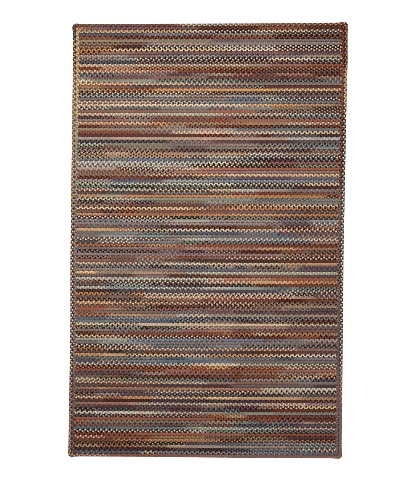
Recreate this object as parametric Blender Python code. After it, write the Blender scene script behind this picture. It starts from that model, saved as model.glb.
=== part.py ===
"""Braided rug, lying flat.

Straight three-strand braids lie side by side across the rug and are laced edge to edge into one field.
Two more braids run round the field and bind the cut ends of its braids.

Metres, +X across the rug, +Y along it, +Z up. The origin is on the floor, under the middle of the rug.
"""

import math
from collections import namedtuple

import bmesh
import bpy
import numpy as np

for old in list(bpy.data.objects):
    bpy.data.objects.remove(old)

# Driving dimensions
RUG_WIDTH = 1.530  # across, outside to outside
RUG_LENGTH = 2.430  # along, outside to outside
FIELD_BRAIDS = 138  # straight braids, side by side along the length
BORDER_BRAIDS = 2  # braids that run round the field
BORDER_BRAID_WIDTH = 0.0176
THICKNESS = 0.010  # floor to the crown of a braid
WAIST_TOP = 0.0066  # neighbouring braids press together from here
WAIST_FOOT = 0.0032  # down to here
FOOT_SHARE = 0.40  # share of a braid's width that lies on the floor
SEAM = 0.0003  # between the field and the border braids
OUTER_CORNER = 0.020  # corner radius of the rug's outline
SEAM_CORNER = 0.008  # corner radius of the seam between the two border braids
TIGHT_CORNER = 0.0005  # the inner border braid turns almost on the spot
CORNER_SWELL = 0.0035  # the outer braid stands out this far at a corner
SWELL_RUN = 0.036  # and over this length beside it
CROWN_STEPS = 6  # facets over the crown of one braid
CORNER_STEPS = 5  # facets round one corner

FIELD_EDGE = BORDER_BRAIDS * BORDER_BRAID_WIDTH  # from the rug's outline to the field

# The rug lies a little askew, with wavy edges, and its braids aren't quite straight or even. One row for each
# height up the rug: how far its sides lie to the right of a true rectangle's, and how far its braids lie
# above where even, straight ones would be, at four places across it.
Course = namedtuple("Course", "share_from_foot left_side right_side up_left up_third up_two_thirds up_right")
COURSES = (
    Course(0.00, -0.0134, -0.0145, 0.0078, 0.0048, -0.0014, -0.0027),
    Course(0.20, -0.0056, -0.0092, 0.0047, -0.0011, -0.0037, -0.0046),
    Course(0.32, -0.0014, -0.0053, 0.0052, -0.0004, -0.0026, -0.0034),
    Course(0.45, -0.0014, -0.0034, 0.0017, -0.0021, -0.0053, -0.0056),
    Course(0.62, 0.0031, 0.0045, 0.0033, -0.0001, -0.0021, -0.0035),
    Course(0.80, 0.0090, 0.0134, -0.0044, -0.0045, -0.0057, -0.0038),
    Course(0.92, 0.0129, 0.0204, -0.0052, -0.0033, -0.0030, -0.0030),
    Course(1.00, 0.0126, 0.0196, -0.0042, -0.0020, -0.0003, 0.0042),
)
HEIGHTS = [course.share_from_foot for course in COURSES]
PLACES = (0 / 3, 1 / 3, 2 / 3, 3 / 3)  # shares of the width from the left, for the last four columns

# Finish of each piece: sRGB colour by eye, roughness
FIELD_COLOUR = (0.42, 0.33, 0.30)
INNER_BORDER_COLOUR = (0.33, 0.30, 0.31)
OUTER_BORDER_COLOUR = (0.55, 0.34, 0.22)
YARN_ROUGHNESS = 0.95
SCREEN_GAMMA = 2.2  # from sRGB to linear
SHARP_ANGLE = 50  # degrees; the edge of a flat underside strip is softer than this


def lay(x, y):
    """Where a point of the true rectangle lies on the floor."""
    from_left = x / RUG_WIDTH + 0.5
    from_foot = y / RUG_LENGTH + 0.5
    shifts = [np.interp(from_foot, HEIGHTS, column) for column in zip(*COURSES)]
    left_side, right_side, *up = shifts[1:]
    laid_x = x + left_side + from_left * (right_side - left_side)
    laid_y = y + np.interp(from_left, PLACES, up)
    return laid_x, laid_y


def crown():
    """The top of one braid's section: share of its width and height, from edge to edge."""
    points = []
    for step in range(CROWN_STEPS + 1):
        angle = math.pi * step / CROWN_STEPS
        share = (1 - math.cos(angle)) / 2
        height = WAIST_TOP + (THICKNESS - WAIST_TOP) * math.sin(angle)
        points.append((share, height))
    return points


def foot():
    """The underside of one braid's section, with the flat strip that it lies on."""
    lift_off = (1 - FOOT_SHARE) / 2
    return [(0, WAIST_FOOT), (lift_off, 0), (1 - lift_off, 0), (1, WAIST_FOOT)]


def make_object(name, bm, colour):
    """Turns a bmesh of the true rectangle into the laid piece, with its own yarn material."""
    for vert in bm.verts:
        vert.co.x, vert.co.y = lay(vert.co.x, vert.co.y)
    bmesh.ops.recalc_face_normals(bm, faces=bm.faces)
    mesh = bpy.data.meshes.new(name)
    bm.to_mesh(mesh)
    bm.free()
    mesh.shade_smooth()
    mesh.set_sharp_from_angle(angle=math.radians(SHARP_ANGLE))
    material = bpy.data.materials.new(name + "_yarn")
    material.use_nodes = True
    finish = material.node_tree.nodes["Principled BSDF"]
    linear = [channel ** SCREEN_GAMMA for channel in colour]
    finish.inputs["Base Color"].default_value = (*linear, 1)
    finish.inputs["Roughness"].default_value = YARN_ROUGHNESS
    finish.inputs["Metallic"].default_value = 0
    mesh.materials.append(material)
    piece = bpy.data.objects.new(name, mesh)
    bpy.context.scene.collection.objects.link(piece)
    return piece


def braided_field():
    """All the straight braids, laced into one ribbed sheet, drawn out from its left end to its right."""
    half_width = RUG_WIDTH / 2 - FIELD_EDGE - SEAM / 2
    half_length = RUG_LENGTH / 2 - FIELD_EDGE - SEAM / 2
    pitch = 2 * half_length / FIELD_BRAIDS
    stations = [-half_width]
    stations += [(place - 0.5) * RUG_WIDTH for place in PLACES[1:-1]]
    stations.append(half_width)

    bm = bmesh.new()

    def row_of(section):
        """Points of a section repeated over all the braids; neighbours share their edge point."""
        row = []
        for braid in range(FIELD_BRAIDS):
            for share, height in section[:-1]:
                y = -half_length + (braid + share) * pitch
                row.append(bm.verts.new((stations[0], y, height)))
        row.append(bm.verts.new((stations[0], half_length, section[-1][1])))
        return row

    top = row_of(crown())
    under = row_of(foot())
    top_steps = len(crown()) - 1
    under_steps = len(foot()) - 1
    ends = []
    for braid in range(FIELD_BRAIDS):
        over = top[braid * top_steps:(braid + 1) * top_steps + 1]
        below = under[braid * under_steps:(braid + 1) * under_steps + 1]
        ends.append(bm.faces.new(over + below[::-1]))
    for x in stations[1:]:
        drawn = bmesh.ops.extrude_face_region(bm, geom=ends)["geom"]
        if x != stations[1]:  # only the first faces stay, as the field's left end
            bmesh.ops.delete(bm, geom=ends, context="FACES")
        for vert in drawn:
            if isinstance(vert, bmesh.types.BMVert):
                vert.co.x = x
        ends = [face for face in drawn if isinstance(face, bmesh.types.BMFace)]
    return make_object("braided_field", bm, FIELD_COLOUR)


def rail(inset, radius, swell):
    """One edge of a border braid, anticlockwise from the foot of the right side, as x, y points."""
    half_width = RUG_WIDTH / 2 - inset
    half_length = RUG_LENGTH / 2 - inset
    side_stops = [(height - 0.5) * RUG_LENGTH for height in HEIGHTS[1:-1]]
    end_stops = [(place - 0.5) * RUG_WIDTH for place in PLACES[1:-1]]
    # a side's half length, half width of the rug there, its stops, and the way it faces
    sides = (
        (half_length, half_width, side_stops, 0),
        (half_width, half_length, end_stops[::-1], 90),
        (half_length, half_width, side_stops[::-1], 180),
        (half_width, half_length, end_stops, 270),
    )
    points = []
    for reach, out, stops, facing in sides:
        cos = round(math.cos(math.radians(facing)))
        sin = round(math.sin(math.radians(facing)))
        run = reach - radius
        # distance along the side, and how much of the swell is there
        beside = [(-run + SWELL_RUN / 2, 0.5), (-run + SWELL_RUN, 0)]
        local = beside + [(stop * (cos - sin), 0) for stop in stops]
        local += [(-along, share) for along, share in beside[::-1]]
        for along, share in local:
            away = out + share * swell
            points.append((away * cos - along * sin, away * sin + along * cos))
        for step in range(CORNER_STEPS + 1):
            turn = math.pi / 2 * step / CORNER_STEPS
            along = run + (radius + swell) * math.sin(turn)
            away = out - radius + (radius + swell) * math.cos(turn)
            points.append((away * cos - along * sin, away * sin + along * cos))
    return points


def border_braid(name, inner_rail, outer_rail, colour):
    """A braid that runs round the rug between two rails, joined up with itself."""
    section = crown() + foot()[::-1]
    bm = bmesh.new()
    loops = []
    for (inner_x, inner_y), (outer_x, outer_y) in zip(inner_rail, outer_rail):
        loop = []
        for share, height in section:
            x = inner_x + share * (outer_x - inner_x)
            y = inner_y + share * (outer_y - inner_y)
            loop.append(bm.verts.new((x, y, height)))
        loops.append(loop)
    for loop, after in zip(loops, loops[1:] + loops[:1]):
        for point in range(len(section)):
            beyond = (point + 1) % len(section)
            bm.faces.new((loop[point], loop[beyond], after[beyond], after[point]))
    return make_object(name, bm, colour)


rug = [braided_field()]
rug.append(border_braid(
    "inner_border_braid",
    rail(FIELD_EDGE - SEAM / 2, TIGHT_CORNER, 0),
    rail(BORDER_BRAID_WIDTH + SEAM / 2, SEAM_CORNER, 0),
    INNER_BORDER_COLOUR,
))
rug.append(border_braid(
    "outer_border_braid",
    rail(BORDER_BRAID_WIDTH - SEAM / 2, SEAM_CORNER + SEAM, 0),
    rail(0, OUTER_CORNER, CORNER_SWELL),
    OUTER_BORDER_COLOUR,
))

# The askew outline is moved so that the middle of its box is over the origin.
outline = np.array([vert.co for vert in rug[-1].data.vertices])
middle = (outline.min(axis=0) + outline.max(axis=0)) / 2
for piece in rug:
    piece.location = (-middle[0], -middle[1], 0)
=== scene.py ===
import math
from collections import namedtuple

import bpy
import numpy as np
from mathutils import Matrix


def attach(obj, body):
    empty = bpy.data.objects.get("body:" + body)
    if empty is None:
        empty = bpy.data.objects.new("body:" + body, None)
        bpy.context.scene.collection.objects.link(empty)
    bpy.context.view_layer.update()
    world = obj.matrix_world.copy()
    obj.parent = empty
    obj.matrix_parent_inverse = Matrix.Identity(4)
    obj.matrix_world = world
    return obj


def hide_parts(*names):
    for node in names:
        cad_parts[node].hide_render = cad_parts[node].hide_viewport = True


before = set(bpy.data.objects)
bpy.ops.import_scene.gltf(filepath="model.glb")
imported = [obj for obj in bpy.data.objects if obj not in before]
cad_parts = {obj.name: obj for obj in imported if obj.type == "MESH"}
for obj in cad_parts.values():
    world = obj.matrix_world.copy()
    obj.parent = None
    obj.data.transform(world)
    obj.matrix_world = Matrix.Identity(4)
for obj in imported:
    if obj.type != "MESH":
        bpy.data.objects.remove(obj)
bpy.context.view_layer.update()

# The camera. It hangs straight above the rug with a long lens, as in the photograph, whose frame takes in
# 2.69 m from top to bottom. Its middle is a hair off the middle of the rug.
FRAME_PIXELS = 480  # from top to bottom
PIXEL = 0.005594  # metres of floor that one pixel shows
VIEW_HEIGHT = FRAME_PIXELS * PIXEL
VIEW_MIDDLE = (0.0006, 0.0018)
CAMERA_HEIGHT = 9.0

camera = bpy.data.objects.new("camera", bpy.data.cameras.new("camera"))
bpy.context.scene.collection.objects.link(camera)
camera.location = (*VIEW_MIDDLE, CAMERA_HEIGHT)
camera.data.sensor_fit = "VERTICAL"
camera.data.angle_y = 2 * math.atan(VIEW_HEIGHT / 2 / CAMERA_HEIGHT)
bpy.context.scene.camera = camera

# The field braids. 138 straight three-strand plaits of soft spun wool-blend yarn, cut to length and laced
# edge to edge across the rug. The lacing is hidden between them. Each strand's yarn is dyed in runs, so its
# colour passes to another now and then.
RUG_WIDTH = 1.530
RUG_LENGTH = 2.430
FIELD_BRAIDS = 138
BORDER_BRAID_WIDTH = 0.0176
FIELD_HALF_WIDTH = RUG_WIDTH / 2 - 2 * BORDER_BRAID_WIDTH  # two border braids run round the field
FIELD_HALF_LENGTH = RUG_LENGTH / 2 - 2 * BORDER_BRAID_WIDTH
FIELD_BRAID_WIDTH = 2 * FIELD_HALF_LENGTH / FIELD_BRAIDS
BRAIDS_A_PIECE = 6
STRANDS = 3  # in every braid
PLAIT_LENGTH = 0.0294  # one strand comes back to the same side after this
FIELD_STEPS = 6  # stations of a strand in one plait length
FIELD_COLUMNS = 2  # a strand's map is cut into this many strips, as one strip would be too long
END_TUCK = 0.010  # the cut ends run on this far under the border
END_SHOWS = 0.004  # as much of that can be seen beside the border, and keeps its height
END_HEIGHT = 0.35  # the rest is pressed to this share of its height
chance = np.random.default_rng(7)  # a fixed seed, so that each run makes the same rug

# The rug lies a little askew, with wavy edges, and its braids aren't quite straight or even. One row for each
# height up the rug: how far its sides lie to the right of a true rectangle's, and how far its braids lie
# above where even, straight ones would be, at four places across it. In metres, and typed in from the results
# of a script that measured the photograph.
Course = namedtuple("Course", "share_from_foot left_side right_side up_left up_third up_two_thirds up_right")
COURSES = (
    Course(0.00, -0.0134, -0.0145, 0.0078, 0.0048, -0.0014, -0.0027),
    Course(0.20, -0.0056, -0.0092, 0.0047, -0.0011, -0.0037, -0.0046),
    Course(0.32, -0.0014, -0.0053, 0.0052, -0.0004, -0.0026, -0.0034),
    Course(0.45, -0.0014, -0.0034, 0.0017, -0.0021, -0.0053, -0.0056),
    Course(0.62, 0.0031, 0.0045, 0.0033, -0.0001, -0.0021, -0.0035),
    Course(0.80, 0.0090, 0.0134, -0.0044, -0.0045, -0.0057, -0.0038),
    Course(0.92, 0.0129, 0.0204, -0.0052, -0.0033, -0.0030, -0.0030),
    Course(1.00, 0.0126, 0.0196, -0.0042, -0.0020, -0.0003, 0.0042),
)
LAID_MIDDLE = (0.0033, 0.0007)  # of the askew outline's box, from the true rectangle's middle


def lay(x, y):
    """Where points of the true rectangle lie on the floor, with the middle of the laid rug at the origin."""
    from_left = np.clip(x / RUG_WIDTH + 0.5, 0, 1)
    from_foot = y / RUG_LENGTH + 0.5
    heights, *columns = zip(*COURSES)
    left_side, right_side, *up = [np.interp(from_foot, heights, column) for column in columns]
    laid_x = x + left_side + from_left * (right_side - left_side)
    laid_y = np.array(y, float)
    gaps = len(up) - 1
    for place, shift in enumerate(up):  # a braid runs straight from one of the four places to the next
        laid_y += shift * np.clip(1 - abs(from_left * gaps - place), 0, 1)
    return laid_x - LAID_MIDDLE[0], laid_y - LAID_MIDDLE[1]


# The yarn is dyed wool blend, and dull. Its colours were first chosen one by one. Most were then set close to
# fitted values, which matched each yarn's average in the render to that in the photograph.
YARNS = {
    "black": "#1a0f0d",
    "coal": "#3e3b41",
    "brown": "#684032",
    "maroon": "#632a20",
    "rust": "#8f563e",
    "brick": "#a1583f",
    "rose": "#a66c60",
    "orange": "#bf854f",
    "gold": "#d9a96b",
    "tan": "#b29a83",
    "cream": "#dbc7aa",
    "silver": "#a3a29b",
    "sage": "#878f7a",
    "moss": "#6d654b",
    "teal": "#6a7c75",
    "grey": "#8b8988",
    "slate": "#676a6f",
    "blue": "#4f6c8c",
    "navy": "#454a5c",
    "plum": "#5b3f4c",
    "mauve": "#876871",
}
SCREEN_KNEE = 0.04045  # up to here an sRGB value is in proportion to the light
KNEE_SLOPE = 12.92  # so many times it
SCREEN_OFFSET = 0.055  # and above, the light is a power of the value, once it is moved by this
SCREEN_POWER = 2.4


def linear(srgb_hex):
    """A colour such as #8e432c in linear light."""
    screen = np.array([int(srgb_hex[at:at + 2], 16) / 255 for at in (1, 3, 5)])
    curved = ((screen + SCREEN_OFFSET) / (1 + SCREEN_OFFSET)) ** SCREEN_POWER
    return np.where(screen <= SCREEN_KNEE, screen / KNEE_SLOPE, curved)


# The braids from the head down, one entry for each, up to its semicolon. It names the three yarns at the left
# end, and then, each time after the hundredths of the width where they begin, the three from there on. It was
# written from the photograph. About a quarter of it was then changed, mostly where the average colour
# of a tenth of a braid lay far from the photograph's.
FIELD_PLAN = """
1: gold sage brown, 10 gold tan brown, 22 gold tan black, 40 cream tan black, 50 cream black black,
    66 cream tan black, 88 cream brown coal;
2: slate navy coal, 24 grey slate navy, 40 grey navy maroon, 52 sage grey maroon, 74 sage black maroon;
3: rust maroon rust, 14 rust black maroon, 50 rust brick black, 75 rust black maroon;
4: sage sage rust, 30 sage teal rust, 50 slate brown slate, 61 teal slate rust, 95 slate blue rust;
5: rust maroon sage, 18 rust maroon slate, 27 grey tan rust, 50 grey slate rose, 62 grey teal rose,
    93 tan rust slate;
6: brown rust sage, 14 coal black brown, 26 cream black navy, 50 cream grey black, 75 cream black black;
7: orange orange black, 12 gold cream black, 56 cream cream black, 75 cream black maroon;
8: rose rust black, 9 rose rust slate, 20 slate rust plum, 62 plum mauve rust, 80 plum slate maroon;
9: silver grey rust, 13 tan grey slate, 18 slate mauve rust, 30 slate grey maroon, 38 silver grey maroon,
    52 slate grey maroon, 74 slate grey rust, 84 slate grey orange;
10: tan coal brown, 7 tan coal moss, 14 tan coal sage, 22 cream black coal, 50 cream black black,
    74 cream cream black, 88 cream sage black;
11: navy slate black, 21 grey black maroon, 50 tan black maroon, 76 black maroon grey;
12: cream rust tan, 10 cream grey rust, 28 cream teal rust, 50 cream sage rust, 64 tan teal rose,
    73 rose brick slate, 88 rust brick brown;
13: maroon maroon rust, 9 orange tan maroon, 20 orange rust black, 50 orange brown black;
14: cream rust rust, 28 tan rose brown, 38 rust maroon brown, 50 rust black maroon, 70 rust navy black;
15: grey slate black, 14 slate maroon grey, 35 slate coal maroon, 43 grey slate maroon, 50 tan grey brown,
    58 tan brown maroon, 67 brown maroon slate, 76 tan rust maroon, 90 rust maroon black;
16: sage rust slate, 4 rust slate maroon, 28 brick rust slate, 40 brown rust sage, 50 rust maroon coal,
    78 maroon rust coal, 92 tan rust coal;
17: cream cream slate, 4 sage sage slate, 15 sage sage grey, 30 sage teal black, 60 sage black coal,
    94 slate grey coal;
18: cream orange brown, 7 cream orange rust, 20 cream rust sage, 40 cream brown slate, 50 cream rust slate,
    58 tan rust slate, 66 slate grey rust;
19: rust slate orange, 8 rust slate brown, 20 slate maroon coal, 35 slate rust coal, 50 grey navy maroon,
    62 grey slate black, 72 maroon coal brown;
20: orange brown sage, 10 orange maroon rust, 28 orange gold brick, 50 orange orange gold,
    75 cream orange rust;
21: tan black maroon, 4 cream black brown, 42 cream black slate, 50 grey black brown, 66 sage black maroon;
22: silver grey black, 27 silver tan slate, 40 slate tan rust, 56 grey tan slate, 75 slate grey maroon,
    85 slate navy rust;
23: rust slate slate, 12 slate grey rust, 27 grey rust slate, 58 grey slate coal, 70 cream grey black,
    78 cream coal black;
24: cream rust slate, 28 cream maroon navy, 33 cream teal black, 45 grey silver coal, 55 grey slate slate,
    75 slate grey navy;
25: cream tan rust, 8 cream cream rust, 62 cream orange rust, 72 orange gold rust, 82 orange tan rust,
    97 orange slate rust;
26: cream slate black, 10 slate teal coal, 30 slate teal sage, 50 slate grey coal, 60 grey sage slate,
    74 sage rust moss, 90 sage black maroon;
27: rust slate rust, 15 rust brick slate, 30 rose rust slate, 50 rose brick rust, 68 rust grey black,
    88 tan maroon black;
28: cream tan rust, 10 cream tan sage, 25 cream sage sage, 55 cream sage brown, 80 cream sage black,
    90 cream slate black;
29: maroon black slate, 8 rust black slate, 16 rust silver black, 28 rust maroon slate,
    50 maroon slate rust, 58 grey black maroon, 80 grey black slate;
30: slate rust grey, 12 rust slate rose, 20 grey slate rust, 28 rust slate maroon, 50 brick rust maroon,
    60 rose brick moss, 82 rose brick maroon;
31: gold tan rust, 12 gold cream maroon, 28 orange gold maroon, 34 orange sage maroon, 62 orange rust sage,
    80 cream sage rust, 90 cream moss rust;
32: black maroon rust, 8 rust maroon slate, 22 rust slate maroon, 32 tan rust slate, 42 rust slate black,
    52 black maroon rust, 75 maroon black slate, 88 maroon rust black;
33: sage sage rust, 10 sage grey rust, 35 sage slate tan, 44 tan rust silver, 54 slate tan silver,
    60 slate grey navy, 74 teal slate slate;
34: rust maroon rust, 25 rust grey maroon, 36 cream tan rust, 44 cream cream rust, 56 cream gold slate,
    66 gold cream navy, 82 gold cream black;
35: coal maroon brown, 12 maroon brown coal, 46 rust black maroon, 58 grey plum brown, 68 maroon plum black,
    75 plum slate coal, 92 black plum coal;
36: grey silver orange, 12 silver tan orange, 80 silver grey cream, 92 cream silver grey;
37: black coal slate, 35 slate grey maroon, 45 grey mauve maroon, 52 plum slate maroon, 64 plum coal maroon,
    82 brown slate plum;
38: cream sage black, 10 sage teal rust, 32 teal slate rust, 42 slate rust sage, 52 sage grey rust,
    70 sage black grey, 85 sage black slate;
39: moss black sage, 8 sage maroon brown, 18 sage rust slate, 36 rust slate coal, 50 rust teal sage,
    66 tan sage maroon, 80 silver slate maroon, 92 grey sage slate;
40: rose black grey, 18 silver black rust, 28 slate black rust, 40 slate black maroon, 50 grey black maroon,
    78 slate black maroon, 88 grey coal rust;
41: gold slate black, 10 gold tan slate, 20 orange tan black, 34 orange tan slate, 55 gold orange slate,
    64 tan cream navy, 80 tan orange navy;
42: gold black slate, 14 orange silver black, 30 orange tan black, 42 cream black brown,
    49 cream coal silver, 62 cream navy black;
43: slate navy grey, 8 slate navy sage, 20 navy blue grey, 35 slate navy slate, 50 grey slate slate,
    58 silver slate black, 66 teal black black, 73 navy black maroon, 83 grey coal black;
44: cream silver slate, 18 cream silver coal, 50 cream cream black, 58 cream rust black, 73 rose brick coal,
    85 brick rose coal;
45: cream navy slate, 15 cream coal sage, 30 cream slate grey, 43 cream black black, 60 sage black black,
    85 sage sage black;
46: rose tan silver, 15 cream black maroon, 28 cream tan black, 35 cream rose coal, 40 cream rose tan,
    46 rose brick tan, 54 brick brick rose, 70 brick brick rust;
47: rust grey maroon, 12 rust sage maroon, 22 rose grey black, 36 rose grey rust, 50 grey mauve rust,
    62 slate grey mauve, 85 slate grey rust;
48: sage rust brown, 12 rust sage brown, 27 cream rust brown, 45 cream orange rust, 58 gold cream rust,
    88 gold cream brown;
49: maroon black rust, 14 rust brown maroon, 26 maroon black rust, 38 grey maroon black,
    48 grey slate maroon, 62 slate navy maroon, 80 navy slate mauve;
50: silver grey brown, 13 slate blue coal, 20 blue slate brown, 32 silver silver slate,
    50 silver slate blue, 85 silver slate navy;
51: cream sage black, 10 cream grey navy, 22 cream sage coal, 28 cream silver coal, 50 cream cream black,
    60 cream brown black, 88 gold cream black;
52: sage black teal, 14 black black sage, 30 slate black sage, 50 sage black coal, 84 navy black maroon;
53: cream brown rust, 12 cream sage brown, 28 cream rust black, 50 cream rust tan, 60 cream tan grey,
    70 grey tan rose, 80 slate grey rust;
54: coal slate maroon, 10 coal coal slate, 30 coal grey slate, 50 grey brown coal, 60 maroon grey brown,
    70 rust maroon coal, 85 maroon rust slate;
55: orange tan rust, 8 orange tan sage, 18 orange orange brick, 50 orange gold rust, 62 orange orange rust,
    94 orange black maroon;
56: cream sage black, 15 sage cream slate, 23 sage sage teal, 50 sage teal grey, 68 teal slate navy,
    80 slate sage navy, 90 teal sage slate;
57: black maroon grey, 10 rose grey black, 22 maroon grey black, 30 rust sage brown, 48 rust grey silver,
    60 teal grey rust;
58: grey rust coal, 12 slate rust maroon, 20 rust coal plum, 50 grey rust coal, 57 rust tan black,
    63 cream rust black, 76 cream tan black;
59: gold cream maroon, 12 gold cream black, 30 gold cream brown, 45 cream orange black,
    50 orange rust brown, 58 orange gold maroon, 65 orange orange maroon, 85 orange rust black;
60: slate maroon rust, 8 maroon slate black, 14 rose maroon black, 24 rust maroon slate, 48 rust plum slate,
    58 mauve slate plum, 75 plum slate navy, 88 grey maroon coal;
61: rust tan orange, 10 orange slate rust, 20 orange rust moss, 35 orange orange rust, 60 orange gold rust,
    80 orange orange brown;
62: cream black maroon, 35 sage black black, 48 sage grey black, 58 grey black sage, 75 grey black brown;
63: silver slate navy, 8 grey slate navy, 16 silver silver black, 33 tan silver brown, 38 silver silver tan,
    50 silver grey rust, 62 silver sage rust, 76 slate grey brown, 90 silver slate grey;
64: teal grey rust, 15 grey rust slate, 35 silver grey rust, 50 grey rose teal, 72 coal rose grey,
    78 slate coal brown, 90 cream coal slate;
65: rust slate coal, 6 teal navy rust, 14 maroon navy grey, 30 maroon black slate, 40 rust maroon black,
    60 maroon brown moss, 76 tan maroon black, 90 tan rust brown;
66: gold orange tan, 14 gold orange rust, 20 gold tan black, 34 cream cream black, 60 cream tan maroon,
    80 cream rust black;
67: teal slate moss, 12 slate grey teal, 25 slate sage coal, 36 navy slate black, 40 navy navy slate,
    62 slate grey navy, 78 slate coal rust;
68: slate rust teal, 10 grey silver mauve, 23 grey teal sage, 35 teal rust grey, 50 teal slate rust,
    76 slate teal navy, 84 silver rust coal;
69: cream coal brown, 14 cream coal sage, 22 cream maroon coal, 33 sage rust grey, 40 cream sage grey,
    50 cream sage slate, 62 cream sage navy, 90 cream tan coal;
70: coal slate coal, 8 cream slate coal, 20 grey slate slate, 40 black sage slate, 50 grey slate black,
    91 tan rose coal;
71: orange rust maroon, 28 orange tan maroon, 38 tan rust maroon, 46 rust brick maroon,
    70 rust maroon maroon;
72: slate rust slate, 12 grey slate rust, 30 rust rose slate, 42 rose silver rust, 55 brick silver rust,
    70 tan gold rust, 85 orange rust slate;
73: black maroon grey, 30 maroon grey slate, 40 maroon black slate, 50 tan brown black,
    62 maroon brown black, 78 rust moss maroon, 88 rust black slate;
74: rose sage slate, 12 grey rust slate, 36 grey rose navy, 50 mauve grey rust, 78 tan black rose,
    90 maroon tan brown;
75: black rust grey, 12 rust brown slate, 24 tan rust brown, 38 rust maroon rust, 48 rust rust slate,
    57 cream maroon brown, 80 cream black maroon;
76: rust rust slate, 14 rust slate maroon, 24 tan slate maroon, 34 coal slate brown, 42 black coal slate,
    50 coal brown coal, 60 black brown coal, 78 brown maroon coal;
77: cream orange slate, 12 cream rust coal, 24 cream slate coal, 32 gold cream slate, 50 gold cream brown,
    60 gold cream slate, 80 gold orange slate, 90 orange orange tan;
78: black grey slate, 28 black black grey, 36 black grey slate, 52 silver black grey, 60 black grey brown,
    66 rust black teal, 80 tan rust slate, 87 maroon navy slate;
79: grey grey rust, 8 rust grey sage, 20 slate rust grey, 38 navy slate mauve, 52 slate mauve navy,
    65 maroon slate grey, 85 navy slate maroon;
80: gold cream orange, 8 orange sage slate, 22 tan sage orange, 34 sage tan rust, 42 cream sage slate,
    48 cream sage sage;
81: slate rust coal, 12 coal slate maroon, 22 mauve rust slate, 36 maroon rust black, 50 maroon rust coal,
    65 rust maroon slate, 85 slate coal maroon;
82: silver cream slate, 12 cream silver slate, 22 cream silver teal, 42 cream silver slate,
    50 cream grey rust, 57 tan rose rust, 68 rose rust tan, 76 brick rust rust;
83: rust maroon sage, 7 tan maroon black, 12 cream brown black, 50 cream tan maroon, 56 cream orange brown,
    66 gold gold sage, 76 gold cream rust, 84 gold orange maroon, 92 orange tan brown;
84: coal slate brown, 10 navy grey black, 14 silver sage black, 29 silver black black,
    33 black maroon slate, 60 black black sage, 69 rust maroon black, 78 rust brown maroon;
85: cream silver slate, 12 silver sage slate, 22 cream slate teal, 30 cream grey slate, 38 cream navy slate,
    50 cream silver grey, 60 sage sage silver, 71 teal slate grey, 76 navy slate teal, 83 sage teal black;
86: coal brown black, 15 maroon coal slate, 28 coal slate plum, 55 navy plum navy, 70 slate plum navy,
    77 tan slate plum, 82 cream coal navy, 94 cream black maroon;
87: orange orange black, 10 orange slate black, 21 gold orange black, 25 cream tan black,
    76 cream grey black, 84 tan maroon black, 92 maroon silver coal;
88: slate rust coal, 12 rust mauve slate, 20 rust grey maroon, 27 cream tan rust, 50 cream rust brown,
    62 cream rose maroon, 84 rust tan silver, 92 tan rust coal;
89: sage maroon black, 26 rust black sage, 36 maroon sage rust, 50 tan maroon rust, 60 rust maroon brown,
    76 maroon maroon black, 88 rust maroon brown;
90: cream orange rust, 14 cream rust brown, 30 cream rust maroon, 44 cream black maroon,
    60 cream rust black, 67 sage rust black, 90 rust black teal;
91: maroon sage brown, 10 grey maroon rust, 25 maroon sage black, 32 black maroon moss,
    50 grey black maroon, 60 tan maroon black, 69 sage rust brown, 80 tan sage rust;
92: brick rust brick, 10 rose brick sage, 19 sage rust black, 30 rust rose black, 42 rose slate maroon,
    50 rust maroon grey, 80 rust grey coal, 90 coal slate maroon;
93: slate brown rust, 8 slate teal rust, 20 slate slate rust, 32 grey slate coal, 50 coal slate rust,
    60 slate coal maroon, 74 coal slate maroon;
94: orange rust maroon, 12 orange gold slate, 25 orange orange slate, 37 tan cream slate,
    42 gold cream coal, 50 gold sage slate, 76 orange sage slate, 86 orange tan slate;
95: slate slate navy, 12 silver slate navy, 30 navy grey slate, 41 black silver navy, 50 grey black navy,
    66 silver slate black, 80 black grey slate;
96: slate slate teal, 12 grey slate navy, 25 blue navy slate, 37 navy silver black, 50 slate grey brown,
    62 black brown slate, 72 rust grey black, 86 rust maroon black;
97: gold cream slate, 10 cream gold black, 18 cream orange coal, 25 gold cream tan, 78 cream gold sage,
    83 sage cream maroon, 90 cream sage brown;
98: rust sage black, 10 grey black sage, 26 black teal brown, 34 black silver coal, 40 silver tan black,
    50 silver grey rust, 58 grey slate rust, 68 rose grey rust, 80 plum rust slate;
99: slate rust sage, 12 slate grey maroon, 30 slate silver maroon, 38 rust rose slate, 50 rose tan rust,
    60 maroon rust slate, 70 plum maroon grey, 82 slate rust plum;
100: maroon rust black, 8 rust slate maroon, 20 rust maroon rust, 58 rust orange black, 68 gold cream black,
    76 gold orange black, 84 orange orange black, 96 orange rust teal;
101: cream orange black, 17 cream black maroon, 60 rose maroon black, 66 rust maroon black,
    80 rust rust maroon, 92 rust black maroon;
102: sage silver sage, 14 silver sage tan, 20 slate silver navy, 30 silver slate blue, 50 silver slate coal,
    58 blue slate grey, 72 grey slate maroon, 80 grey slate slate, 88 silver silver maroon;
103: slate rust teal, 9 slate grey silver, 24 slate slate grey, 34 slate rust grey, 58 rust grey slate,
    90 coal rust grey;
104: cream black coal, 23 cream slate rust, 30 sage slate navy, 42 sage slate coal, 50 slate grey teal,
    63 sage black slate, 84 black sage coal;
105: orange rust black, 12 cream rust black, 24 cream slate rust, 50 cream rust brown, 83 rust rose slate,
    92 rust rust grey;
106: coal maroon slate, 12 coal black coal, 18 coal slate maroon, 26 rust maroon coal, 36 slate rust coal,
    46 coal plum slate, 60 maroon coal coal, 72 brown maroon coal, 85 plum coal rust;
107: orange gold rust, 10 gold orange tan, 20 gold cream black, 50 gold orange black, 72 cream gold black,
    82 cream cream black;
108: teal slate coal, 8 slate sage coal, 28 navy slate grey, 34 navy slate navy, 42 slate grey slate,
    55 slate navy grey, 76 slate navy coal, 84 grey slate mauve;
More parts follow.
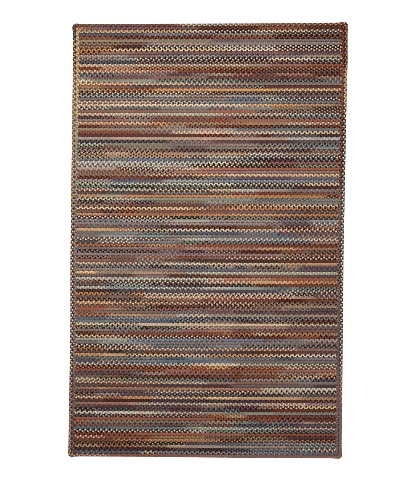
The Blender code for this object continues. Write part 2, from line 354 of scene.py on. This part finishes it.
109: navy slate maroon, 9 slate tan brown, 19 slate grey slate, 32 slate slate blue, 50 slate slate grey,
    60 teal slate rust;
110: cream coal slate, 25 cream slate coal, 36 cream silver black, 44 cream cream brown,
    50 cream cream sage, 63 cream sage slate, 80 cream sage coal;
111: orange maroon black, 42 orange rust maroon, 50 orange gold brown, 58 orange maroon black,
    66 orange maroon rust, 80 cream orange brown, 86 cream rust maroon;
112: brick rust maroon, 10 brick maroon slate, 24 rust brick black, 34 brick rose slate,
    44 rose brick maroon, 50 rose maroon rust, 76 rose mauve rust;
113: coal slate coal, 12 slate coal maroon, 22 grey slate coal, 26 silver grey maroon, 35 rust grey maroon,
    50 grey rust maroon, 62 rust brown sage, 75 tan rust maroon, 79 maroon slate tan, 92 gold rust slate;
114: rust slate brown, 8 rust moss brown, 17 rust brown black, 30 rust maroon black, 50 brown maroon rust,
    72 brown rust brown, 79 gold brown black, 84 cream orange black, 93 gold black maroon;
115: sage cream moss, 8 tan sage black, 18 sage teal black, 48 teal black slate, 62 sage silver maroon,
    84 slate silver coal, 92 navy slate black;
116: cream rust brown, 34 cream rust sage, 44 cream silver rust, 50 rust grey rose, 60 brick slate rust,
    76 rust teal brick, 86 grey rust teal;
117: coal maroon slate, 10 coal rust coal, 30 navy maroon coal, 48 coal coal maroon, 60 slate slate brown,
    92 coal coal brown;
118: rust orange slate, 10 orange brick slate, 27 orange slate rust, 38 orange slate orange,
    50 brick orange grey, 60 brick orange slate, 72 cream gold slate, 78 cream cream slate;
119: maroon plum slate, 10 coal slate maroon, 28 tan coal maroon, 31 cream coal rust, 38 cream navy rust,
    50 cream black maroon, 72 cream tan black, 86 cream black coal;
120: maroon grey black, 8 silver maroon grey, 16 slate coal plum, 30 grey coal black, 50 slate black slate,
    65 black coal slate, 80 coal slate slate, 90 coal slate brown;
121: cream orange brown, 10 orange rust brown, 18 gold orange rust, 30 cream orange brown,
    50 cream gold orange, 62 orange gold tan, 86 orange rust sage;
122: plum coal maroon, 10 black maroon coal, 30 black navy plum, 50 navy plum black, 74 slate maroon black,
    82 plum maroon coal, 90 maroon black mauve;
123: orange rust slate, 8 orange brick slate, 20 orange tan slate, 27 cream rust slate, 50 cream tan rust,
    58 cream rust slate, 70 cream rust tan, 88 rose tan slate;
124: maroon plum slate, 8 coal maroon plum, 22 coal slate maroon, 40 rust plum coal, 50 rust grey coal,
    58 maroon slate black, 70 tan rust coal, 78 cream maroon black, 86 gold cream black;
125: black black grey, 8 black slate coal, 25 maroon coal slate, 38 slate black maroon, 50 navy slate black,
    56 grey navy black, 64 maroon brown black, 76 maroon maroon brown;
126: cream cream black, 8 cream cream slate, 18 cream cream sage, 30 cream tan slate, 38 cream rust slate,
    50 tan sage rust, 58 sage grey brown, 66 sage sage grey, 76 sage grey moss;
127: black coal slate, 8 black coal silver, 15 grey black maroon, 28 black silver maroon,
    44 maroon rust slate, 52 orange maroon rust, 58 gold rust sage, 66 rust maroon maroon,
    80 rust maroon coal;
128: brick rust rust, 50 brick rust moss, 54 rust rust black, 70 rust maroon rust, 79 rose black maroon,
    88 maroon brown brown;
129: orange rust maroon, 3 sage teal maroon, 42 sage slate maroon, 50 sage tan maroon, 62 teal sage maroon,
    65 slate navy sage, 72 slate grey maroon, 88 orange slate grey, 93 gold slate coal;
130: maroon slate rust, 30 maroon plum moss, 42 rust navy sage, 50 maroon teal maroon, 62 black navy slate,
    72 navy black grey, 84 slate navy maroon;
131: slate teal coal, 14 teal moss slate, 30 sage teal navy, 42 sage silver slate, 46 cream sage teal,
    62 cream sage navy, 78 cream rust slate;
132: cream black coal, 27 cream coal black, 44 cream silver black, 50 sage teal black, 65 sage black slate,
    80 teal black brown, 90 teal slate black;
133: brick black maroon, 10 rust brick black, 24 brick brick rust, 50 brick rust rose, 66 brick maroon rust;
134: cream rust maroon, 11 moss rust maroon, 30 moss rust sage, 50 moss maroon slate, 63 tan moss black,
    72 sage maroon brown, 80 plum maroon coal;
135: rust brown maroon, 14 orange rust maroon, 28 orange orange rust, 50 orange orange brown,
    55 orange maroon black, 66 orange slate brown, 84 orange brown black;
136: moss black brown, 21 tan black black, 33 sage black black, 42 navy coal plum, 48 slate navy coal,
    58 slate slate navy, 66 slate grey navy, 75 silver slate navy, 86 silver grey coal;
137: orange tan black, 10 orange rust black, 22 orange slate brown, 36 orange silver tan,
    42 silver grey orange, 55 orange slate silver, 70 slate orange grey, 80 orange slate slate,
    88 silver slate coal;
138: brown black coal, 20 black coal maroon, 38 coal plum brown, 48 black coal maroon, 58 slate coal black,
    67 grey slate coal, 80 tan slate coal, 86 cream coal slate, 93 cream coal rust;
"""
PASS_WANDER = 0.022  # metres; the three yarns of a braid don't pass at quite the same place
PASS_RUN = (0.012, 0.045)  # a yarn passes from one colour to the next over this length
DRIFT = 0.10  # the dye takes a little more or less along a strand
DRIFT_LENGTHS = (0.05, 0.40)  # from one dark stretch to the next
DRIFT_WAVES = 3  # so many waves of these lengths lie over one another


def read_plan(text):
    """A colour plan as {name: [(share of the way where a stage begins, its three yarns), ...]}."""
    plan = {}
    for entry in text.strip().rstrip(";").split(";"):
        name, stages = entry.split(":")
        name = name.strip()
        plan[name] = []
        for stage in stages.split(","):
            *start, first, second, third = stage.split()
            share = int(start[0]) / 100 if start else 0.0  # the first stage has no number
            plan[name].append((share, (first, second, third)))
    return plan


def dyed(stages, along, strand):
    """The linear colour of one strand at each place along its braid, from the stages of the braid's plan.
    A stage is where it begins, in metres, and its three yarns."""
    colour = np.tile(linear(YARNS[stages[0][1][strand]]), (len(along), 1))
    for (_, before), (start, after) in zip(stages, stages[1:]):
        run = chance.uniform(*PASS_RUN)
        middle = start + chance.uniform(-PASS_WANDER, PASS_WANDER)
        passed = np.clip((along - middle) / run + 0.5, 0, 1)[:, None]
        colour += passed * (linear(YARNS[after[strand]]) - linear(YARNS[before[strand]]))
    drift = np.zeros(len(along))
    for _ in range(DRIFT_WAVES):
        drift += np.sin(math.tau * (along / chance.uniform(*DRIFT_LENGTHS) + chance.uniform()))
    return colour * (1 + DRIFT / DRIFT_WAVES * drift)[:, None]


# A strand of the plait weaves from side to side once, and over and under twice, in each plait length.
Plait = namedtuple("Plait", "width swing half_strand mid_height rise section deep_shade side_shade")
FIELD_PLAIT = Plait(
    width=FIELD_BRAID_WIDTH,
    swing=0.320,  # of the width: a strand's middle goes this far from the braid's
    half_strand=0.295,  # of the width; neighbours press into each other low down
    mid_height=0.0036,  # metres from the floor to a strand's middle, half way up
    rise=0.0038,  # how far it goes up and down from there
    section=((-1, -0.0017), (0, 0.0026), (1, -0.0017)),  # half strands to the side, metres up
    deep_shade=0.42,  # painted shade: the yarn's colour down between the strands, as a share of it on a crest
    side_shade=0.60,  # and the painted shade at the sides of a crest
)
CREST = 1 / 8  # a strand's first crest is this share of the way through its plait; the second is at 5 / 8
LINGER = 0.5  # how much longer a strand stays out at the sides than a plain wave would
PINCH = 0.08  # a strand is narrower by this share where it is on top
DROOP = 0.0014  # and its sides hang down this much more there
SHADE_TOP = -0.5  # full painted shade up to here, on a strand's way from -1, at its lowest, to 1, on a crest


def plaited(kind, along, turn, plait_length, place):
    """Three plaited strands of a kind of plait, with a station at each distance along the braid.

    turn is how much of its plait the first strand has been through where along is 0, and place lays points,
    along and across, on the floor. Gives the points by strand, station and section, the share of its yarn's
    colour that each keeps under the shade painted between the strands, and which stretches are in the second
    row of crests."""
    strands, lit, second_row = [], [], []
    for strand in range(STRANDS):
        angle = math.tau * (along / plait_length + turn + strand / STRANDS)
        wave = np.sin(angle)
        reach = kind.swing * kind.width / math.tanh(LINGER)
        across = reach * np.tanh(LINGER * wave)
        slope = reach * LINGER / np.cosh(LINGER * wave) ** 2 * np.cos(angle) * math.tau / plait_length
        stretch = np.hypot(1, slope)
        over = np.sin(2 * angle)
        resting = -min(up for _, up in kind.section)  # a strand lies on the floor at its lowest
        height = np.maximum(kind.mid_height + kind.rise * over, resting)
        half_strand = kind.half_strand * kind.width * (1 - PINCH * over)
        points = []
        for side, up in kind.section:
            out = side * half_strand
            x, y = place(along - out * slope / stretch, across + out / stretch)
            droop = DROOP * np.maximum(over, 0) if up < 0 else 0
            points.append(np.stack([x, y, height + up - droop], axis=1))
        strands.append(np.stack(points, axis=1))
        # painted shade: the yarn's colour is darkened low down between the strands and at the sides of a
        # crest
        risen = np.clip((over - SHADE_TOP) / (1 - SHADE_TOP), 0, 1)
        on_top = np.array([up for _, up in kind.section]) > 0
        deep = kind.deep_shade
        lit.append((deep + (1 - deep) * risen)[:, None] * np.where(on_top, 1, kind.side_shade))
        # the first row reaches from a quarter of a plait before the first crest to a quarter after it
        second_row.append((angle / math.tau + CREST) % 1 >= 1 / 2)
    return np.array(strands), np.array(lit), np.array(second_row)


STRIP_MARGIN = 0.08  # of a strip's height on the map, empty below it and above it
EDGE_MARGIN = 0.002  # of the map's width, empty at both ends of a strip


def plait_mesh(name, plaits, colours, columns, closed, material):
    """A piece made of plaited strands, with a colour for each station of a strand, and painted shade between
    the strands.

    Each strand is cut into so many columns, which lie one above the other as strips on the piece's map. A
    closed strand runs round to its own start, and any other has an end face at both ends."""
    tubes, lit, second_row = (np.concatenate(parts) for parts in zip(*plaits))
    count, stations, around, _ = tubes.shape
    spans = stations if closed else stations - 1
    tube = np.arange(count)[:, None, None]
    station = np.arange(spans)[None, :, None]
    side = np.arange(around)[None, None, :]
    ahead = (station + 1) % stations
    beside = (side + 1) % around

    def point(at, edge):
        """The number of a vertex: of a strand, at a station, and at an edge of its section."""
        return (tube * stations + at) * around + edge

    def split(corners):
        """Two triangles from each four-sided patch, cut so that both rows of crests come out alike."""
        patches = (count, spans, around)
        four = np.stack([np.broadcast_to(corner, patches + corner.shape[3:]) for corner in corners], axis=3)
        turned = second_row[:, :spans].reshape(count, spans, 1, *[1] * (four.ndim - 3))
        four = np.where(turned, np.roll(four, -1, axis=3), four)
        return four[:, :, :, [0, 1, 2, 0, 2, 3]].reshape(-1, 3, *four.shape[4:])

    triangles = split([
        point(station, side),
        point(ahead, side),
        point(ahead, beside),
        point(station, beside),
    ])
    # the map: a column holds a share of the stations, and each strand has a strip for each column
    span_column = station * columns // spans
    first_span = -(-span_column * spans // columns)
    last_span = -(-(span_column + 1) * spans // columns)
    strip = tube * columns + span_column
    rows = count * columns

    def spot(on, up):
        """The place on the map of a patch's corner, on along the strand and up round it."""
        along_strip = (station + on - first_span) / (last_span - first_span)
        up_strip = (side + up) / around
        u = EDGE_MARGIN + (1 - 2 * EDGE_MARGIN) * along_strip
        v = (strip + STRIP_MARGIN + (1 - 2 * STRIP_MARGIN) * up_strip) / rows
        return np.stack(np.broadcast_arrays(u, v), axis=-1)

    spots = split([spot(0, 0), spot(1, 0), spot(1, 1), spot(0, 1)]).reshape(-1, 2)
    ends = []
    if not closed:
        for end in (0, stations - 1):
            ring = point(end, side)[:, 0]
            ends.append(ring[:, ::-1] if end == 0 else ring)
    loops = np.concatenate([triangles.ravel()] + [ring.ravel() for ring in ends])
    sizes = np.concatenate([np.full(len(triangles), 3)] + [np.full(len(ring), around) for ring in ends])
    starts = np.concatenate([[0], np.cumsum(sizes)[:-1]])
    mesh = bpy.data.meshes.new(name)
    mesh.vertices.add(count * stations * around)
    mesh.vertices.foreach_set("co", tubes.astype(np.float32).ravel())
    mesh.loops.add(len(loops))
    mesh.loops.foreach_set("vertex_index", loops.astype(np.int32))
    mesh.polygons.add(len(sizes))
    mesh.polygons.foreach_set("loop_start", starts.astype(np.int32))
    mesh.update(calc_edges=True)
    # on the map, an end face goes into the margin of its strand's first strip
    first_strip = np.repeat(np.arange(count) * columns, around)
    end_spots = np.stack([np.full(count * around, EDGE_MARGIN / 2), (first_strip + 0.5) / rows], axis=1)
    all_spots = np.concatenate([spots] + [end_spots] * len(ends))
    bake_map = mesh.uv_layers.new(name="OFBake")
    bake_map.uv.foreach_set("vector", all_spots.astype(np.float32).ravel())
    # the yarn's dyed colour with the painted shade between the strands multiplied into it
    dye_and_painted_shade = mesh.color_attributes.new("dye_and_painted_shade", "FLOAT_COLOR", "POINT")
    rgba = np.ones((count, stations, around, 4))
    rgba[..., :3] = colours[:, :, None, :] * lit[..., None]
    dye_and_painted_shade.data.foreach_set("color", rgba.astype(np.float32).ravel())
    mesh.shade_smooth()
    mesh.materials.append(material)
    mesh.validate()
    piece = bpy.data.objects.new(name, mesh)
    bpy.context.scene.collection.objects.link(piece)
    return piece


def add_node(tree, kind, settings=None, links=None):
    """Adds a node to a material, with its settings and what its inputs are linked from."""
    node = tree.nodes.new(kind)
    for name, value in (settings or {}).items():
        if name in node.inputs:
            node.inputs[name].default_value = value
        else:
            setattr(node, name, value)
    for name, source in (links or {}).items():
        tree.links.new(source, node.inputs[name])
    return node


# Spun wool-blend yarn, dyed in runs, with a soft nap. It gives the eye no gloss, a fine fuzz, and a little
# lighter and darker colour from fleck to fleck.
FLECK = 0.009  # metres from fleck to fleck; the real 3 mm is too fine to show, so they are drawn coarser
DARK_FLECK = 0.80  # of the yarn's own colour
LIGHT_FLECK = 1.20
NAP = 0.0022  # metres from tuft to tuft of the nap
NAP_HEIGHT = 0.0006  # metres, taken at half strength

wool_yarn = bpy.data.materials.new("spun_wool_blend_yarn")
wool_yarn.use_nodes = True
tree = wool_yarn.node_tree
shader = tree.nodes["Principled BSDF"]
shader.inputs["Roughness"].default_value = 0.95
shader.inputs["Specular IOR Level"].default_value = 0.08
position = add_node(tree, "ShaderNodeTexCoord").outputs["Object"]
# the yarn's dyed colour, with the painted shade between the strands already in it
dye_and_painted_shade = add_node(tree, "ShaderNodeVertexColor", {"layer_name": "dye_and_painted_shade"})
fleck = add_node(tree, "ShaderNodeTexNoise", {"Scale": 1 / FLECK, "Detail": 2.0}, {"Vector": position})
fleck_shade = add_node(
    tree,
    "ShaderNodeMapRange",
    {"From Min": 0.3, "From Max": 0.7, "To Min": DARK_FLECK, "To Max": LIGHT_FLECK},  # most of the noise
    {"Value": fleck.outputs["Fac"]},
)
tint = add_node(
    tree,
    "ShaderNodeVectorMath",
    {"operation": "SCALE"},
    {0: dye_and_painted_shade.outputs["Color"], "Scale": fleck_shade.outputs["Result"]},
)
nap = add_node(tree, "ShaderNodeTexNoise", {"Scale": 1 / NAP, "Detail": 3.0}, {"Vector": position})
bump = add_node(
    tree,
    "ShaderNodeBump",
    {"Strength": 0.5, "Distance": NAP_HEIGHT},
    {"Height": nap.outputs["Fac"]},
)
tree.links.new(tint.outputs["Vector"], shader.inputs["Base Color"])
tree.links.new(bump.outputs["Normal"], shader.inputs["Normal"])

field_plan = read_plan(FIELD_PLAN)
step = PLAIT_LENGTH / FIELD_STEPS
steps = round(2 * (FIELD_HALF_WIDTH + END_TUCK) / step)
half_run = steps * step / 2
for first in range(0, FIELD_BRAIDS, BRAIDS_A_PIECE):
    plaits, colours = [], []
    for braid in range(first, first + BRAIDS_A_PIECE):
        middle = FIELD_HALF_LENGTH - (braid + 0.5) * FIELD_BRAID_WIDTH
        # a braid is cut anywhere in its plait, but there is a station at every crest, and at both cut ends
        ahead = chance.uniform(0, step)
        crest = chance.integers(FIELD_STEPS)
        along = -half_run + ahead + np.arange(-1, steps + 1) * step
        along[[0, -1]] = -half_run, half_run
        turn = CREST + crest / FIELD_STEPS - (ahead - half_run) / PLAIT_LENGTH

        def on_floor(x, across):
            """Where a point of this braid lies."""
            return lay(x, middle + across)

        points, lit, second_row = plaited(FIELD_PLAIT, along, turn, PLAIT_LENGTH, on_floor)
        tucked = abs(along) > FIELD_HALF_WIDTH + END_SHOWS
        points[:, tucked, :, 2] *= END_HEIGHT
        plaits.append((points, lit, second_row))
        stages = [(share * 2 * FIELD_HALF_WIDTH, yarns) for share, yarns in field_plan[str(braid + 1)]]
        colours += [dyed(stages, along + FIELD_HALF_WIDTH, strand) for strand in range(STRANDS)]
    name = f"field_braids_{first + 1:03d}_{first + BRAIDS_A_PIECE:03d}"
    piece = plait_mesh(name, plaits, np.array(colours), FIELD_COLUMNS, False, wool_yarn)
    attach(piece, "root")
    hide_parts("braided_field")

# The two border braids. Each is one long plait of the same yarn that runs right round the rug, is joined up
# with itself, and is laced to what it runs round. The inner one covers the cut ends of the field braids.
BORDER_STEPS = 12  # stations of a strand in one plait length
BORDER_COLUMNS = 20  # strips on the map for each strand
TIGHT_CORNER = 0.0005  # radius; the inner one turns almost on the spot
SEAM_CORNER = 0.008  # radius of the seam between the two
OUTER_CORNER = 0.020  # radius of the rug's outline
CORNER_SWELL = 0.0035  # the outer one stands out this far at a corner
SWELL_RUN = 0.036  # and over this length beside it
CORNER_POINTS = 12  # steps round a corner
SIDE_POINTS = 40  # points along a side
INNER_PLAIT = Plait(
    width=BORDER_BRAID_WIDTH,
    swing=0.320,
    half_strand=0.290,
    mid_height=0.0045,
    rise=0.0029,
    section=(
        (-1, -0.0004),
        (-0.55, -0.0018),
        (0.55, -0.0018),
        (1, -0.0004),
        (0.4, 0.0021),
        (-0.4, 0.0021),
    ),
    deep_shade=0.25,  # these are braided tighter, so more shade is painted between the strands
    side_shade=0.45,
)
OUTER_PLAIT = INNER_PLAIT._replace(swing=0.290, half_strand=0.245)  # and this one a little narrower

# The yarns of both, an entry for each side in the way of FIELD_PLAN. The way round is up the right side, back
# along the head, down the left side and along the foot, and the numbers are hundredths of a side.
BORDER_PLANS = """
outer right: rust slate rust, 12 tan brown rust, 20 cream brown black, 40 cream moss black,
    62 cream coal black, 81 gold tan coal, 89 orange black coal, 96 orange black brown;
outer head: orange coal maroon, 10 orange coal plum, 30 orange slate maroon, 38 gold slate coal,
    61 rust coal maroon, 72 brown slate maroon, 80 brown maroon slate, 92 brown moss maroon;
outer left: moss black navy, 2 gold black maroon, 10 gold brown slate, 25 gold maroon slate,
    40 gold black slate, 47 cream black brown, 80 tan black rust, 90 tan brown rust;
outer foot: tan rust brown, 14 rust brick brown, 36 brick slate rust;
inner right: slate rust navy, 20 slate plum brown, 30 slate rust coal, 40 slate rust black,
    50 slate rust coal, 62 brown rust black, 80 brown rust maroon, 90 black rust maroon;
inner head: black brown maroon, 14 brown maroon rust, 30 black brown maroon, 53 slate brown maroon,
    80 slate brown maroon, 90 brown rust slate, 97 tan rust brown;
inner left: gold sage moss, 20 tan sage moss, 25 grey sage moss, 31 grey sage maroon, 40 slate sage maroon,
    50 grey moss brown, 58 grey slate maroon, 80 coal slate rust, 90 coal slate maroon;
inner foot: coal slate navy, 27 cream slate black, 31 grey slate coal, 40 grey slate black,
    60 grey slate coal, 70 grey slate navy, 80 slate slate navy, 92 slate slate coal;
"""


def rail(inset, radius, swell):
    """One edge of a border braid, anticlockwise from the foot of the right side, on the true rectangle."""
    half_width = RUG_WIDTH / 2 - inset
    half_length = RUG_LENGTH / 2 - inset
    sides = ((half_length, half_width), (half_width, half_length)) * 2  # how long and how far out each one is
    points = []
    for number, (reach, out) in enumerate(sides):
        run = reach - radius
        along = np.linspace(-run, run, SIDE_POINTS)
        # two more points, where the swell ends
        along = np.concatenate([along[:1], [SWELL_RUN - run], along[1:-1], [run - SWELL_RUN], along[-1:]])
        away = out + swell * np.clip(1 - (run - abs(along)) / SWELL_RUN, 0, 1)
        turn = math.pi / 2 * np.arange(1, CORNER_POINTS) / CORNER_POINTS
        along = np.concatenate([along, run + (radius + swell) * np.sin(turn)])
        away = np.concatenate([away, out - radius + (radius + swell) * np.cos(turn)])
        points.append((away + 1j * along) * 1j ** number)  # a quarter turn further for each side
    points = np.concatenate(points)
    return np.stack([points.real, points.imag], 1)


Border = namedtuple("Border", "name kind inner_rail outer_rail")
BORDERS = (
    Border(
        name="inner",
        kind=INNER_PLAIT,
        inner_rail=rail(2 * BORDER_BRAID_WIDTH, TIGHT_CORNER, 0),
        outer_rail=rail(BORDER_BRAID_WIDTH, SEAM_CORNER, 0),
    ),
    Border(
        name="outer",
        kind=OUTER_PLAIT,
        inner_rail=rail(BORDER_BRAID_WIDTH, SEAM_CORNER, 0),
        outer_rail=rail(0, OUTER_CORNER, CORNER_SWELL),
    ),
)
border_plans = read_plan(BORDER_PLANS)
for border in BORDERS:
    mid_line = (border.inner_rail + border.outer_rail) / 2
    gaps = np.hypot(*(np.roll(mid_line, -1, axis=0) - mid_line).T)
    reached = np.concatenate([[0], np.cumsum(gaps)])
    round_way = reached[-1]

    def on_floor(along, across):
        """Where a point of this braid lies, between its two rails."""
        share = 0.5 + across / BORDER_BRAID_WIDTH
        inner_x, inner_y, outer_x, outer_y = [
            np.interp(along % round_way, reached, np.append(edge[:, axis], edge[0, axis]))
            for edge in (border.inner_rail, border.outer_rail)
            for axis in (0, 1)
        ]
        return lay(inner_x + share * (outer_x - inner_x), inner_y + share * (outer_y - inner_y))

    plait_count = round(round_way / PLAIT_LENGTH)
    along = np.arange(plait_count * BORDER_STEPS) * round_way / (plait_count * BORDER_STEPS)
    plait = plaited(border.kind, along, CREST, round_way / plait_count, on_floor)
    stages = []
    side_points = len(mid_line) // 4
    for number, side in enumerate(("right", "head", "left", "foot")):
        start = reached[number * side_points]
        length = reached[(number + 1) * side_points] - start
        stages += [(start + share * length, yarns) for share, yarns in border_plans[f"{border.name} {side}"]]
    colours = np.array([dyed(stages, along, strand) for strand in range(STRANDS)])
    piece = plait_mesh(f"{border.name}_border_plait", [plait], colours, BORDER_COLUMNS, True, wool_yarn)
    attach(piece, "root")
    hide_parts(f"{border.name}_border_braid")

# The floor under the rug, smooth and painted a matte off-white, as in a studio. The light is one large round
# lamp nearly overhead, which gives each strand a soft shade, and an even white surround.
FLOOR_TINT = "#fbfafa"
FLOOR_SIZE = 12.0
FLOOR_DROP = 0.0005  # the floor is this far below the rug, so that the two never share a face
LAMP_PLACE = (-0.5, 0.9, 2.8)
LAMP_TILT = (-18, -10, 0)  # degrees
LAMP_SIZE = 2.8  # metres across
LAMP_POWER = 132  # watts
SURROUND_LIGHT = 1.0
PIXEL_FILTER = 0.9  # pixels wide, so that the beads are about as sharp as in the photograph

half = FLOOR_SIZE / 2
floor_corners = [(-half, -half, 0), (half, -half, 0), (half, half, 0), (-half, half, 0)]
floor_mesh = bpy.data.meshes.new("floor")
floor_mesh.from_pydata(floor_corners, [], [(0, 1, 2, 3)])
floor_paint = bpy.data.materials.new("matte_floor_paint")
floor_paint.use_nodes = True
paint = floor_paint.node_tree.nodes["Principled BSDF"]
paint.inputs["Base Color"].default_value = (*linear(FLOOR_TINT), 1)
paint.inputs["Roughness"].default_value = 1.0
paint.inputs["Specular IOR Level"].default_value = 0.0
floor_mesh.materials.append(floor_paint)
floor = bpy.data.objects.new("floor", floor_mesh)
bpy.context.scene.collection.objects.link(floor)
floor.location.z = -FLOOR_DROP

lamp = bpy.data.objects.new("lamp", bpy.data.lights.new("lamp", "AREA"))
lamp.data.shape = "DISK"
lamp.data.size = LAMP_SIZE
lamp.data.energy = LAMP_POWER
lamp.location = LAMP_PLACE
lamp.rotation_euler = [math.radians(angle) for angle in LAMP_TILT]
bpy.context.scene.collection.objects.link(lamp)
sky = bpy.data.worlds.new("studio")
sky.use_nodes = True
surround = sky.node_tree.nodes["Background"]
surround.inputs["Color"].default_value = (1, 1, 1, 1)
surround.inputs["Strength"].default_value = SURROUND_LIGHT
bpy.context.scene.world = sky
bpy.context.scene.view_settings.view_transform = "Standard"  # so that white stays white
bpy.context.scene.cycles.filter_width = PIXEL_FILTER

bpy.context.view_layer.update()
